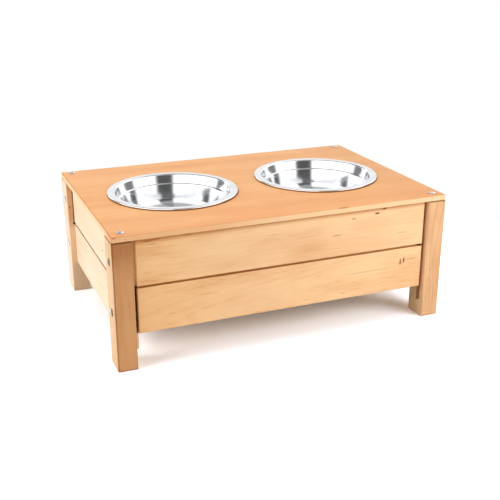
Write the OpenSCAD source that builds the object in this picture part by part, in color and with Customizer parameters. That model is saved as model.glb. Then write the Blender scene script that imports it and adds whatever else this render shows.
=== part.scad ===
// Elevated dog feeder: a timber stand with two lift-out steel bowls and a storage box under them.
// Millimetres. X is the width, Y the depth (the front faces -Y), Z is up.
// The origin is on the ground, under the middle of the stand.

/* [Overall] */
// Width over the legs
overall_w = 600; // [560:5:700]
// Depth over the legs
overall_d = 404; // [360:2:480]
// Height of the top board's upper face
overall_h = 230; // [200:1:320]

/* [Top board] */
// Thickness of the top board
board_t = 10; // [8:0.5:18]
// Radius of the board's corners in plan
board_corner = 4; // [3:0.5:10]
// Radius of the board's eased arrises
board_ease = 2; // [0.5:0.25:3]

/* [Legs] */
// Leg section along the width
leg_x = 33; // [28:1:48]
// Leg section along the depth
leg_y = 45; // [40:1:60]
// Radius of the legs' eased edges
leg_ease = 1.5; // [0.5:0.25:3]

/* [Panels] */
// Thickness of the panel planks
plank_t = 11; // [9:0.5:14]
// Height of the panels' lower edge above the ground
panel_bottom = 60; // [35:1:80]
// Open groove between an upper and a lower plank
plank_gap = 2.5; // [2:0.5:6]
// Setback of the front and back planks from the faces of the legs
long_recess = 6; // [4:0.5:10]
// Setback of the end planks from the faces of the legs
end_recess = 11; // [5:0.5:13]
// Gap between an end plank and the legs beside it
end_gap = 1; // [0.5:0.25:3]
// Radius of the planks' eased edges
plank_ease = 1.5; // [0.5:0.25:3]
// Thickness of the tongue on a lower plank
tongue_t = 4; // [3:0.5:5]
// Height of the tongue above its shoulders
tongue_h = 9; // [7:0.5:14]

/* [Corner strips] */
// Thickness of the strip between a leg and the long panel's planks
strip_t = 5.5; // [4:0.5:10]
// Setback of the strip from the planks' faces
strip_setback = 5.5; // [1:0.5:6]
// Length of the strip that shows below the panel
strip_drop = 29; // [5:1:30]

/* [Battens and storage floor] */
// Thickness of the battens behind the long panels
batten_t = 15; // [13:1:20]
// Width of the battens behind the long panels
batten_w = 30; // [26:1:45]
// Side of the square battens at the end panels
end_batten = 22; // [18:1:30]
// Height of the battens' and ledgers' lower ends above the panels' lower edge
inner_lift = 3; // [1:0.5:8]
// Side of the square ledgers under the storage floor
ledger = 12; // [10:1:20]
// Thickness of the storage floor
floor_t = 6; // [3:0.5:12]

/* [Bowls] */
// Distance between the middles of the bowls
bowl_pitch = 282; // [260:1:290]
// Offset of both bowls to the right of the board's middle
bowl_offset = 2.5; // [0:0.5:4]
// Diameter over the rim
rim_d = 232; // [210:1:240]
// Width of the flat rim, out to its rolled edge
rim_w = 12.5; // [9:0.5:16]
// Diameter of the rolled edge
bead_d = 3.2; // [2.5:0.1:5]
// Overall height of a bowl
bowl_h = 64; // [50:1:80]
// Depth of the stacking step below the rim
step_depth = 17; // [12:0.5:24]
// Width of the stacking step
step_w = 3; // [2:0.25:6]
// Slope of the wall above the step, from upright
upper_slope = 17; // [5:1:25]
// Slope of the wall below the step, from upright
lower_slope = 12; // [5:1:20]
// Radius between the wall and the bowl's floor
floor_round = 26; // [12:1:30]
// Thickness of the bowl's steel
sheet_t = 1; // [0.8:0.1:1.5]
// Gap between the rim and the board that it rests on
rim_seat = 0.3; // [0.1:0.1:0.5]
// Gap between the bowl's wall and the edge of its cut-out
cutout_gap = 1.2; // [0.8:0.1:3]

/* [Fasteners] */
// Diameter of the bolt shanks
bolt_d = 6; // [5:0.5:8]
// Diameter of the bolt heads
bolt_head_d = 12.5; // [10:0.5:16]
// Height of the bolt heads
bolt_head_h = 2.6; // [2:0.1:4]
// Reach of a leg bolt into its batten
leg_bolt_reach = 11; // [8:0.5:16]
// Reach of a top bolt into its leg
top_bolt_reach = 15; // [10:0.5:20]
// Distance of the leg bolts from the panel's upper and lower edges
leg_bolt_inset = 37; // [25:1:45]
// Distance of the top bolts from the board's ends
top_bolt_x = 19; // [14:0.5:20]
// Distance of the top bolts from the board's front and back
top_bolt_y = 16; // [12:0.5:24]
// Outer diameter of the threaded inserts
insert_d = 9; // [8.5:0.5:11]
// Length of the threaded inserts
insert_l = 13; // [10:1:16]
// Diameter of the wood screws
screw_d = 4; // [3:0.5:5]
// Reach of the wood screws into a plank
plank_bite = 7; // [4:0.5:8]
// Reach of the wood screws into a leg
leg_bite = 16; // [10:1:25]

/* [Hidden] */

$fn = 64;
EPS = 1;

LEFT = -1;
RIGHT = 1;
FRONT = -1;
BACK = 1;

// Running clearances of bolts in wood, of inserts and screws in their holes, of tongues in grooves
bolt_clear = 0.6;
snug = 0.1;
groove_clear = 0.2;
groove_floor = 1;
floor_clear = 0.5;

half_w = overall_w / 2;
half_d = overall_d / 2;
leg_h = overall_h - board_t;
leg_in_x = half_w - leg_x;
leg_in_y = half_d - leg_y;

// Heights of the planks
panel_h = leg_h - panel_bottom;
plank_h = (panel_h - plank_gap) / 2;
upper_z = panel_bottom + plank_h + plank_gap;
plank_mid_z = [panel_bottom + plank_h / 2, upper_z + plank_h / 2];
groove_h = tongue_h - plank_gap + groove_floor;

// Long panels: faces and ends, in the quadrant where X and Y are positive
long_face = half_d - long_recess;
long_back = long_face - plank_t;
long_end = leg_in_x - strip_t;
batten_back = long_back - batten_t;
strip_front = long_face - strip_setback;
strip_bottom = panel_bottom - strip_drop;

// End panels
end_face = half_w - end_recess;
end_back = end_face - plank_t;
end_len = 2 * (leg_in_y - end_gap);

// Hidden framing
inner_z = panel_bottom + inner_lift;
inner_h = leg_h - inner_z;
floor_z = inner_z + ledger;
long_batten_in = long_end - batten_w;
end_batten_in = leg_in_y - end_batten;

// Bowls
bowl_x = [-bowl_pitch / 2, bowl_pitch / 2] + bowl_offset * [1, 1];
rim_r = rim_d / 2;
rim_top = overall_h + rim_seat + bead_d;
flange_mid_z = rim_top - sheet_t / 2;
mouth_r = rim_r - rim_w - sheet_t / 2;
mouth_round = 3;
step_round = step_w * 0.45;
step_z = rim_top - step_depth;
step_r_out = mouth_r - (flange_mid_z - step_z) * tan(upper_slope);
step_r_in = step_r_out - step_w;
bowl_floor_z = rim_top - bowl_h + sheet_t / 2;
foot_r = step_r_in - (step_z - bowl_floor_z) * tan(lower_slope);
cutout_r = mouth_r + sheet_t / 2 + cutout_gap;

// Bolts
leg_bolt_y = batten_back + batten_t / 2;
leg_bolt_z = [panel_bottom + leg_bolt_inset, leg_h - leg_bolt_inset];
leg_bolt_l = leg_x + strip_t + leg_bolt_reach;
top_bolt_l = board_t + top_bolt_reach;
socket_d = bolt_d * 0.75;
socket_h = bolt_head_h * 0.6;
bolt_hole_d = bolt_d + bolt_clear;

// Wood screws
screw_head_d = screw_d * 2;
screw_head_h = screw_d / 2;
long_screw_x = long_batten_in + screw_d * 2;
end_screw_y = end_batten_in + end_batten / 2;
corner_screw_x = (end_back + leg_in_x) / 2;
corner_screw_z = [inner_z + inner_h * 0.12, inner_z + inner_h * 0.5, inner_z + inner_h * 0.88];
ledger_screw_z = inner_z + ledger / 2;
long_ledger_half = long_batten_in - floor_clear;
end_ledger_half = end_batten_in - floor_clear;
long_ledger_screws = [-0.6, 0, 0.6] * long_ledger_half;
end_ledger_screws = [-0.5, 0.5] * end_ledger_half;

top_wood = [0.96, 0.74, 0.52];
panel_wood = [0.94, 0.73, 0.52];
pale_wood = [0.92, 0.82, 0.64];
steel = [0.80, 0.81, 0.83];
zinc = [0.74, 0.74, 0.72];

// Puts a shape modelled at positive X and Y into the quadrant of side sx and side sy
module quadrant(sx, sy) {
    mirror([sx < 0 ? 1 : 0, 0, 0])
        mirror([0, sy < 0 ? 1 : 0, 0])
            children();
}

module four_corners() {
    for (sx = [LEFT, RIGHT], sy = [FRONT, BACK])
        quadrant(sx, sy) children();
}

// Rectangle from the origin with round corners
module round_rect(w, h, r) {
    translate([r, 0])
        square([w - 2 * r, h]);
    translate([0, r])
        square([w, h - 2 * r]);
    for (x = [r, w - r], y = [r, h - r])
        translate([x, y])
            circle(r = r);
}

// Block from the origin with its edges eased by r, and its upright edges rounded by plan_r
module eased_block(size, r, plan_r) {
    intersection() {
        linear_extrude(size.z)
            round_rect(size.x, size.y, plan_r);
        translate([0, size.y, 0])
            rotate([90, 0, 0])
                linear_extrude(size.y)
                    round_rect(size.x, size.z, r);
        rotate([90, 0, 90])
            linear_extrude(size.x)
                round_rect(size.y, size.z, r);
    }
}

// Cylinder along +X from the point p
module x_pin(p, d, l) {
    translate(p)
        rotate([0, 90, 0])
            cylinder(d = d, h = l);
}

// Cylinder along +Y from the point p
module y_pin(p, d, l) {
    translate(p)
        rotate([-90, 0, 0])
            cylinder(d = d, h = l);
}

// Round-headed bolt: its head rests on z = 0 and its shank points down
module bolt(l) {
    dome_r = (pow(bolt_head_d / 2, 2) + pow(bolt_head_h, 2)) / (2 * bolt_head_h) * 1.15;
    difference() {
        intersection() {
            cylinder(d = bolt_head_d, h = bolt_head_h);
            translate([0, 0, bolt_head_h - dome_r])
                sphere(r = dome_r);
        }
        translate([0, 0, bolt_head_h - socket_h])
            cylinder(d = socket_d, h = bolt_head_h, $fn = 6);
    }
    translate([0, 0, -l])
        cylinder(d = bolt_d, h = l);
}

// Threaded insert from z = 0 downwards
module insert() {
    difference() {
        translate([0, 0, -insert_l])
            cylinder(d = insert_d, h = insert_l);
        translate([0, 0, -insert_l - EPS])
            cylinder(d = bolt_d + snug, h = insert_l + 2 * EPS);
    }
}

// Countersunk wood screw: its head is flush with z = 0 and it points down; grow widens it into its hole
module wood_screw(l, grow = 0) {
    tip_h = screw_d;
    rotate_extrude()
        polygon([
            [0, 0],
            [screw_head_d / 2 + grow, 0],
            [screw_d / 2 + grow, -screw_head_h],
            [screw_d / 2 + grow, -l + tip_h - grow],
            [0, -l - grow]
        ]);
}

// Screws of the quadrant where X and Y are positive, or their holes
module long_screws(grow = 0) {
    for (z = plank_mid_z)
        translate([long_screw_x, batten_back, z])
            rotate([90, 0, 0])
                wood_screw(batten_t + plank_bite, grow);
}

module end_screws(grow = 0) {
    for (z = plank_mid_z)
        translate([end_back - end_batten, end_screw_y, z])
            rotate([0, -90, 0])
                wood_screw(end_batten + plank_bite, grow);
}

module corner_screw_set(grow = 0) {
    for (z = corner_screw_z)
        translate([corner_screw_x, end_batten_in, z])
            rotate([90, 0, 0])
                wood_screw(end_batten + leg_bite, grow);
}

// Ledger screws of the back ledger and of the right ledger, or their holes
module long_ledger_screw_set(grow = 0) {
    for (x = long_ledger_screws)
        translate([x, long_back - ledger, ledger_screw_z])
            rotate([90, 0, 0])
                wood_screw(ledger + plank_bite, grow);
}

module end_ledger_screw_set(grow = 0) {
    for (y = end_ledger_screws)
        translate([end_back - ledger, y, ledger_screw_z])
            rotate([0, -90, 0])
                wood_screw(ledger + plank_bite, grow);
}

// Holes of the leg bolts, all the way from outside the leg to the batten's inner side
module leg_bolt_holes() {
    for (z = leg_bolt_z)
        x_pin([long_batten_in - EPS, leg_bolt_y, z], bolt_hole_d, half_w - long_batten_in + 2 * EPS);
}

module top_bolt_holes(depth) {
    translate([half_w - top_bolt_x, half_d - top_bolt_y, overall_h - depth])
        cylinder(d = bolt_hole_d, h = depth + EPS);
}

module top_board() {
    color(top_wood)
        difference() {
            translate([-half_w, -half_d, leg_h])
                eased_block([overall_w, overall_d, board_t], board_ease, board_corner);
            for (x = bowl_x)
                translate([x, 0, leg_h - EPS])
                    cylinder(r = cutout_r, h = board_t + 2 * EPS, $fn = 128);
            four_corners()
                top_bolt_holes(board_t + EPS);
        }
}

module leg(sx, sy) {
    color(panel_wood)
        quadrant(sx, sy)
            difference() {
                translate([leg_in_x, leg_in_y, 0])
                    eased_block([leg_x, leg_y, leg_h], leg_ease, leg_ease);
                leg_bolt_holes();
                top_bolt_holes(top_bolt_l + EPS);
                translate([half_w - top_bolt_x, half_d - top_bolt_y, leg_h - insert_l])
                    cylinder(d = insert_d + snug, h = insert_l + EPS);
                corner_screw_set(snug / 2);
            }
}

// Plank from the origin along X, with its face at y = plank_t
module plank(l, tongue, groove) {
    difference() {
        union() {
            eased_block([l, plank_t, plank_h], plank_ease, plank_ease);
            if (tongue)
                translate([plank_ease, (plank_t - tongue_t) / 2, plank_h / 2])
                    cube([l - 2 * plank_ease, tongue_t, plank_h / 2 + tongue_h]);
        }
        if (groove)
            translate([-EPS, (plank_t - tongue_t - groove_clear) / 2, -EPS])
                cube([l + 2 * EPS, tongue_t + groove_clear, groove_h + EPS]);
    }
}

module long_plank(sy, z, tongue, groove) {
    color(panel_wood)
        quadrant(RIGHT, sy)
            difference() {
                translate([-long_end, long_back, z])
                    plank(2 * long_end, tongue, groove);
                for (sx = [LEFT, RIGHT])
                    quadrant(sx, BACK) long_screws(snug / 2);
                long_ledger_screw_set(snug / 2);
            }
}

module end_plank(sx, z, tongue, groove) {
    color(panel_wood)
        quadrant(sx, BACK)
            difference() {
                translate([end_back, end_len / 2, z])
                    rotate([0, 0, -90])
                        plank(end_len, tongue, groove);
                for (sy = [FRONT, BACK])
                    quadrant(RIGHT, sy) end_screws(snug / 2);
                end_ledger_screw_set(snug / 2);
            }
}

module corner_strip(sx, sy) {
    color(pale_wood)
        quadrant(sx, sy)
            difference() {
                translate([long_end, batten_back, strip_bottom])
                    cube([strip_t, strip_front - batten_back, leg_h - strip_bottom]);
                leg_bolt_holes();
            }
}

module long_batten(sx, sy) {
    color(pale_wood)
        quadrant(sx, sy)
            difference() {
                translate([long_batten_in, batten_back, inner_z])
                    cube([batten_w, batten_t, inner_h]);
                for (z = leg_bolt_z)
                    x_pin([long_end - insert_l, leg_bolt_y, z], insert_d + snug, insert_l + EPS);
                long_screws(snug / 2);
            }
}

module end_batten_post(sx, sy) {
    color(pale_wood)
        quadrant(sx, sy)
            difference() {
                translate([end_back - end_batten, end_batten_in, inner_z])
                    cube([end_batten, end_batten, inner_h]);
                end_screws(snug / 2);
                corner_screw_set(snug / 2);
            }
}

module long_ledger(sy) {
    color(pale_wood)
        quadrant(RIGHT, sy)
            difference() {
                translate([-long_ledger_half, long_back - ledger, inner_z])
                    cube([2 * long_ledger_half, ledger, ledger]);
                long_ledger_screw_set(snug / 2);
            }
}

module end_ledger(sx) {
    color(pale_wood)
        quadrant(sx, BACK)
            difference() {
                translate([end_back - ledger, -end_ledger_half, inner_z])
                    cube([ledger, 2 * end_ledger_half, ledger]);
                end_ledger_screw_set(snug / 2);
            }
}

// Thin board that lies on the ledgers, notched round the corner framing
module storage_floor() {
    floor_x = end_back - floor_clear;
    floor_y = long_back - floor_clear;
    color(pale_wood)
        translate([0, 0, floor_z])
            linear_extrude(floor_t)
                union() {
                    square([2 * floor_x, 2 * end_ledger_half], center = true);
                    square([2 * long_ledger_half, 2 * floor_y], center = true);
                }
}

// Corner b of a path from a to c, rounded by r: a list of points on the arc
function corner_arc(a, b, c, r, n) =
    let (
        u = (a - b) / norm(a - b),
        v = (c - b) / norm(c - b),
        half = acos(u * v) / 2,
        middle = b + (u + v) / norm(u + v) * r / sin(half),
        from = b + u * r / tan(half) - middle,
        to = b + v * r / tan(half) - middle,
        a0 = atan2(from.y, from.x),
        turn = atan2(from.x * to.y - from.y * to.x, from * to)
    )
    [for (i = [0 : n]) middle + r * [cos(a0 + turn * i / n), sin(a0 + turn * i / n)]];

// Sheet of thickness t along a path of points
function path_normal(p, i) =
    let (d = p[min(i + 1, len(p) - 1)] - p[max(i - 1, 0)])
    [-d.y, d.x] / norm(d);

function sheet_outline(p, t) = concat(
    [for (i = [0 : len(p) - 1]) p[i] + path_normal(p, i) * t / 2],
    [for (i = [len(p) - 1 : -1 : 0]) p[i] - path_normal(p, i) * t / 2]
);

// Middle line of the bowl's wall, from the middle of its floor to its rolled edge
function bowl_path() =
    let (
        centre = [0, bowl_floor_z],
        foot = [foot_r, bowl_floor_z],
        step_in = [step_r_in, step_z],
        step_out = [step_r_out, step_z],
        mouth = [mouth_r, flange_mid_z],
        edge = [rim_r - bead_d / 2, flange_mid_z]
    )
    concat(
        [centre],
        corner_arc(centre, foot, step_in, floor_round, 10),
        corner_arc(foot, step_in, step_out, step_round, 3),
        corner_arc(step_in, step_out, mouth, step_round, 3),
        corner_arc(step_out, mouth, edge, mouth_round, 5),
        [edge]
    );

module bowl(x) {
    color(steel)
        translate([x, 0, 0]) {
            rotate_extrude($fn = 128)
                polygon(sheet_outline(bowl_path(), sheet_t));
            rotate_extrude($fn = 128)
                translate([rim_r - bead_d / 2, rim_top - bead_d / 2])
                    circle(d = bead_d, $fn = 24);
        }
}

module top_bolts() {
    color(zinc)
        four_corners()
            translate([half_w - top_bolt_x, half_d - top_bolt_y, overall_h])
                bolt(top_bolt_l);
}

module top_inserts() {
    color(zinc)
        four_corners()
            translate([half_w - top_bolt_x, half_d - top_bolt_y, leg_h])
                insert();
}

module leg_bolts() {
    color(zinc)
        four_corners()
            for (z = leg_bolt_z)
                translate([half_w, leg_bolt_y, z])
                    rotate([0, 90, 0])
                        bolt(leg_bolt_l);
}

module leg_inserts() {
    color(zinc)
        four_corners()
            for (z = leg_bolt_z)
                translate([long_end, leg_bolt_y, z])
                    rotate([0, 90, 0])
                        insert();
}

module long_panel_screws() {
    color(zinc)
        four_corners()
            long_screws();
}

module end_panel_screws() {
    color(zinc)
        four_corners()
            end_screws();
}

module corner_screws() {
    color(zinc)
        four_corners()
            corner_screw_set();
}

module ledger_screws() {
    color(zinc) {
        for (sy = [FRONT, BACK])
            quadrant(RIGHT, sy) long_ledger_screw_set();
        for (sx = [LEFT, RIGHT])
            quadrant(sx, BACK) end_ledger_screw_set();
    }
}

top_board();
leg(LEFT, FRONT);  // front_left_leg
leg(RIGHT, FRONT);  // front_right_leg
leg(LEFT, BACK);  // back_left_leg
leg(RIGHT, BACK);  // back_right_leg
long_plank(FRONT, upper_z, false, true);  // front_upper_plank
long_plank(FRONT, panel_bottom, true, false);  // front_lower_plank
long_plank(BACK, upper_z, false, true);  // back_upper_plank
long_plank(BACK, panel_bottom, true, false);  // back_lower_plank
end_plank(LEFT, upper_z, false, true);  // left_upper_plank
end_plank(LEFT, panel_bottom, true, false);  // left_lower_plank
end_plank(RIGHT, upper_z, false, true);  // right_upper_plank
end_plank(RIGHT, panel_bottom, true, false);  // right_lower_plank
corner_strip(LEFT, FRONT);  // front_left_strip
corner_strip(RIGHT, FRONT);  // front_right_strip
corner_strip(LEFT, BACK);  // back_left_strip
corner_strip(RIGHT, BACK);  // back_right_strip
long_batten(LEFT, FRONT);  // front_left_batten
long_batten(RIGHT, FRONT);  // front_right_batten
long_batten(LEFT, BACK);  // back_left_batten
long_batten(RIGHT, BACK);  // back_right_batten
end_batten_post(LEFT, FRONT);  // left_end_front_batten
end_batten_post(LEFT, BACK);  // left_end_back_batten
end_batten_post(RIGHT, FRONT);  // right_end_front_batten
end_batten_post(RIGHT, BACK);  // right_end_back_batten
long_ledger(FRONT);  // front_ledger
long_ledger(BACK);  // back_ledger
end_ledger(LEFT);  // left_ledger
end_ledger(RIGHT);  // right_ledger
storage_floor();
bowl(bowl_x[0]);  // left_bowl
bowl(bowl_x[1]);  // right_bowl
top_bolts();
top_inserts();
leg_bolts();
leg_inserts();
long_panel_screws();
end_panel_screws();
corner_screws();
ledger_screws();
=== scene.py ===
import math

import bmesh
import bpy
from mathutils import Matrix, Vector


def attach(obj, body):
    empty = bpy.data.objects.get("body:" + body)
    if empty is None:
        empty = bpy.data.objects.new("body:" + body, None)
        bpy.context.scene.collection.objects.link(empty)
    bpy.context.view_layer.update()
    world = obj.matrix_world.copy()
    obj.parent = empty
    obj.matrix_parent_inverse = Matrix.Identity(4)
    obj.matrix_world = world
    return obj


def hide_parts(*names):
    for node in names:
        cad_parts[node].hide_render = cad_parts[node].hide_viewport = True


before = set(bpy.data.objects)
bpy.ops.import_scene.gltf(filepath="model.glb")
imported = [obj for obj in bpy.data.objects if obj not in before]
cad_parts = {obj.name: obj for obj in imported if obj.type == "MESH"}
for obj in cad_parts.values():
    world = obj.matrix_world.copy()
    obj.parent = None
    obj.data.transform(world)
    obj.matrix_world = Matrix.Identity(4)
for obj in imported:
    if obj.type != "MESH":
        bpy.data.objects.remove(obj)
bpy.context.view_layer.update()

# Sizes in metres, as on the stand's drawing
HALF_WIDTH = 0.3
HALF_DEPTH = 0.2
BOARD_TOP = 0.230
LEG_FRONT = -0.202
FRONT_PANEL = -0.196
BACK_PANEL = 0.196
LEFT_PANEL = -0.289
RIGHT_PANEL = 0.289

# Bowls
RIM_SEAT = 0.0003
RIM_RADIUS = 0.116
RIM_WIDTH = 0.0125
BEAD = 0.0032
SHEET = 0.001
BOWL_HEIGHT = 0.064
STEP_DEPTH = 0.017
STEP_WIDTH = 0.003
STEP_ROUND = STEP_WIDTH * 0.45
MOUTH_ROUND = 0.003
FLOOR_ROUND = 0.026
UPPER_SLOPE = math.radians(17)
LOWER_SLOPE = math.radians(12)
# The rolled edge of the rim, in degrees from its top
ROLL_START = 8
ROLL_TURN = 222
ROLL_STEPS = 16
BOWL_X = {"left_bowl": -0.1385, "right_bowl": 0.1435}

# Fasteners
BOLT_HEAD = 0.0125
BOLT_HEAD_HEIGHT = 0.0026
BOLT_SHANK = 0.006
BOLT_END_BEVEL = 0.0006
BOLT_HEAD_EASE = 0.0002
DOME_SHARES = (0.42, 0.55, 0.68, 0.8, 0.9, 0.97, 1.0)
DOME_BEND = 0.93
DOME_DEPTH = 0.9
HEX_KEY = 0.0036
SCREW_HEAD = 0.008
SCREW_HEAD_EASE = 0.0003
SCREW_SHANK = 0.004
# Radius and length of a screw's point
SCREW_POINT = (0.0004, 0.002)
SCREW_RECESS_DEPTH = 0.0014

# Points nearer than this are one point
MERGED = 0.000001


class Nodes:
    """Adds nodes to a shader or geometry tree and joins their sockets."""

    def __init__(self, tree):
        self.tree = tree
        tree.nodes.clear()

    def add(self, kind, inputs=None, **settings):
        node = self.tree.nodes.new(kind)
        for name, value in settings.items():
            setattr(node, name, value)
        for name, value in (inputs or {}).items():
            self.put(node.inputs[name], value)
        return node

    def put(self, socket, value):
        if isinstance(value, bpy.types.NodeSocket):
            self.tree.links.new(value, socket)
        else:
            socket.default_value = value

    def calc(self, operation, *values):
        node = self.add("ShaderNodeMath", dict(enumerate(values)), operation=operation)
        return node.outputs[0]

    def vector_calc(self, operation, *values):
        node = self.add("ShaderNodeVectorMath", dict(enumerate(values)), operation=operation)
        return node.outputs["Vector" if operation == "SUBTRACT" else "Value"]

    def parts(self, vector):
        """The vector's numbers, by the names X, Y and Z."""
        return self.add("ShaderNodeSeparateXYZ", {"Vector": vector}).outputs

    def mapped(self, vector, **inputs):
        return self.add("ShaderNodeMapping", {"Vector": vector, **inputs}).outputs[0]

    def all_of(self, *factors):
        """The factors' product: 1 where each of them is 1."""
        product = factors[0]
        for factor in factors[1:]:
            product = self.calc("MULTIPLY", product, factor)
        return product

    def length(self, *sides):
        """How long a line is that reaches this far along each axis."""
        total = 0.0
        for side in sides:
            total = self.calc("MULTIPLY_ADD", side, side, total)
        return self.calc("SQRT", total)

    def sway(self, noise, reach):
        """Noise that wavers round 0, over this reach from its lowest to its highest."""
        return self.calc("MULTIPLY_ADD", noise, reach, -reach / 2)

    def fade(self, value, start, end):
        """0 where value is at start, 1 where it is at end, smooth between."""
        node = self.add("ShaderNodeMapRange", {"Value": value, "From Min": start, "From Max": end},
                        interpolation_type="SMOOTHSTEP")
        return node.outputs["Result"]

    def blend(self, factor, first, second, mode="MIX"):
        """Two colours mixed. The node keeps its colour sockets after those for numbers and vectors."""
        node = self.add("ShaderNodeMix", {0: factor, 6: first, 7: second}, data_type="RGBA", blend_type=mode)
        return node.outputs[2]

    def noise(self, vector, scale=1, detail=2, rough=0.5):
        node = self.add("ShaderNodeTexNoise",
                        {"Vector": vector, "Scale": scale, "Detail": detail, "Roughness": rough})
        return node.outputs["Fac"]

    def ramp(self, factor, stops):
        node = self.add("ShaderNodeValToRGB", {"Fac": factor})
        points = node.color_ramp.elements
        while len(points) < len(stops):
            points.new(0.5)
        for point, (place, colour) in zip(points, stops):
            point.position = place
            point.color = (*colour[:3], 1)
        return node.outputs["Color"]


def linear(red, green, blue):
    """A colour given as 0 to 255 in sRGB, as linear light."""
    return tuple(c / 255 / 12.92 if c <= 10 else ((c / 255 + 0.055) / 1.055) ** 2.4 for c in (red, green, blue))


def grey(value):
    return value, value, value, 1


def times(colour, *factors):
    """A colour made darker or lighter, by one factor or by one for each of red, green and blue."""
    return tuple(min(1, c * f) for c, f in zip(colour, factors * (3 // len(factors))))


def new_material(name):
    material = bpy.data.materials.new(name)
    material.use_nodes = True
    return material, Nodes(material.node_tree)


def add_to_scene(name, data):
    thing = bpy.data.objects.new(name, data)
    bpy.context.scene.collection.objects.link(thing)
    return thing


# Where the fasteners stand
def solids_of(node):
    """Lowest and highest corner of each separate solid of a node, and the points of it."""
    shape = bmesh.new()
    shape.from_mesh(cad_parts[node].data)
    bmesh.ops.remove_doubles(shape, verts=shape.verts, dist=MERGED)
    left, found = set(shape.verts), []
    while left:
        pile, solid = [left.pop()], []
        while pile:
            vert = pile.pop()
            solid.append(vert.co.copy())
            for edge in vert.link_edges:
                other = edge.other_vert(vert)
                if other in left:
                    left.remove(other)
                    pile.append(other)
        low = Vector(min(p[i] for p in solid) for i in range(3))
        high = Vector(max(p[i] for p in solid) for i in range(3))
        found.append((low, high, solid))
    shape.free()
    return found


def seats_of(node):
    """(top of the head, way the head looks, length) of each fastener, from the node's own solids. The head is at
    the wider end. The fasteners are sorted by place, so that each gets the same turn on every run."""
    seats = []
    for low, high, solid in solids_of(node):
        size = high - low
        axis = max(range(3), key=lambda i: size[i])
        line = Vector([1 if i == axis else 0 for i in range(3)])
        middle = (low + high) / 2
        end_length = size[axis] * 0.3
        low_end = [p for p in solid if p[axis] < low[axis] + end_length]
        high_end = [p for p in solid if p[axis] > high[axis] - end_length]
        low_width, high_width = (max((p - middle).cross(line).length for p in end) for end in (low_end, high_end))
        way = 1 if high_width > low_width else -1
        top = middle.copy()
        top[axis] = high[axis] if way > 0 else low[axis]
        seats.append((top, Vector([way if i == axis else 0 for i in range(3)]), size[axis]))
    return sorted(seats, key=lambda seat: [round(c, 5) for c in seat[0]])


SEATS = {node: seats_of(node) for node in ("top_bolts", "leg_bolts", "long_panel_screws", "end_panel_screws",
                                           "corner_screws", "ledger_screws")}

# Colours, the pale one and the deep one of each wood, and the tints of painted shade and of darker places.
# PALE_FIR and PALE_LEG, for the left-hand pieces, are partly painted light, from the strong light on the left.
HONEY, HONEY_DEEP = linear(255, 193, 132), linear(236, 152, 92)
FIR, FIR_DEEP = linear(255, 209, 154), linear(226, 152, 92)
PALE_FIR, PALE_FIR_DEEP = linear(252, 224, 192), linear(232, 188, 148)
LEG, LEG_DEEP = linear(244, 196, 149), linear(208, 150, 102)
PALE_LEG, PALE_LEG_DEEP = linear(234, 198, 158), linear(206, 162, 122)
RAW, RAW_DEEP = linear(250, 222, 180), linear(200, 158, 112)
SHADOW = linear(118, 78, 46)
BROWN = linear(190, 150, 112)
# A near-black painted shade, for the deepest hollows
DEEP_SHADE = linear(60, 26, 12)
ARRIS = (0.62, 0.48, 0.34)
# A cream tone of painted light
CREAM = linear(255, 220, 176)


# Shades: each has the places where it fades in, as (axis, where it is 0, where it is full)
def tinted(strength, tint, *limits):
    """A shade that darkens what lies under it."""
    return limits, strength, tint, "MULTIPLY"


def toned(strength, tone, *limits):
    """A shade with a tone of its own."""
    return limits, strength, tone, "MIX"


def lay_shades(n, colour, place, shades, sway=0.0):
    """The colour under these shades. Their edges waver by sway."""
    axes = n.parts(place)
    for limits, strength, tint, mode in shades:
        reach = [n.fade(n.calc("ADD", axes[axis], sway), start, full) for axis, start, full in limits]
        colour = n.blend(n.all_of(*reach, strength), colour, (*tint, 1), mode)
    return colour


# Wood: growth rings round a pith line, fibres along the grain, and the board's own marks
GRAIN_FIRST = {"X": "XYZ", "Y": "YXZ", "Z": "ZXY"}
# What a knot or a streak leaves of the deep colour
BURNT = (0.34, 0.17, 0.12)
# A mark starts and is full at these shares of its own size
MARK_EDGE = (1.25, 0.55)
# The rings bend within this many sizes of a knot, by up to this many years
KNOT_REACH = 5.5
KNOT_SWIRL = 1.6
# A painted shadow line has faded out at the first of these distances inwards of its circle, and is full at the
# second
LINE_INSIDE = (0.003, 0.001)
PLANED_RELIEF = 0.00012
SAWN_RELIEF = 0.0004


def growth_rings(n, board, grain, pith, ring_mm, swirl):
    """1 on the late wood of a dark year, 0 on early wood."""
    across = n.parts(board)
    side = n.calc("ADD", n.calc("SUBTRACT", across["Y"], pith[0]), n.sway(grain(1.4, 7), 0.05))
    up = n.calc("ADD", n.calc("SUBTRACT", across["Z"], pith[1]), n.sway(grain(1.6, 8, detail=1), 0.06))
    waver = n.calc("MULTIPLY", grain(5, 60), 0.7)
    years = n.calc("ADD", n.calc("MULTIPLY_ADD", n.length(side, up), 1000 / ring_mm, waver), swirl)
    late = n.ramp(n.calc("FRACT", years), [(0.0, grey(0.15)), (0.12, grey(0.0)), (0.6, grey(0.28)),
                                           (0.9, grey(1.0)), (1.0, grey(0.15))])
    year = n.add("ShaderNodeTexWhiteNoise", {"W": n.calc("FLOOR", years)}, noise_dimensions="1D").outputs["Value"]
    return n.calc("MULTIPLY", late, n.calc("MULTIPLY_ADD", year, 0.7, 0.3))


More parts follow.
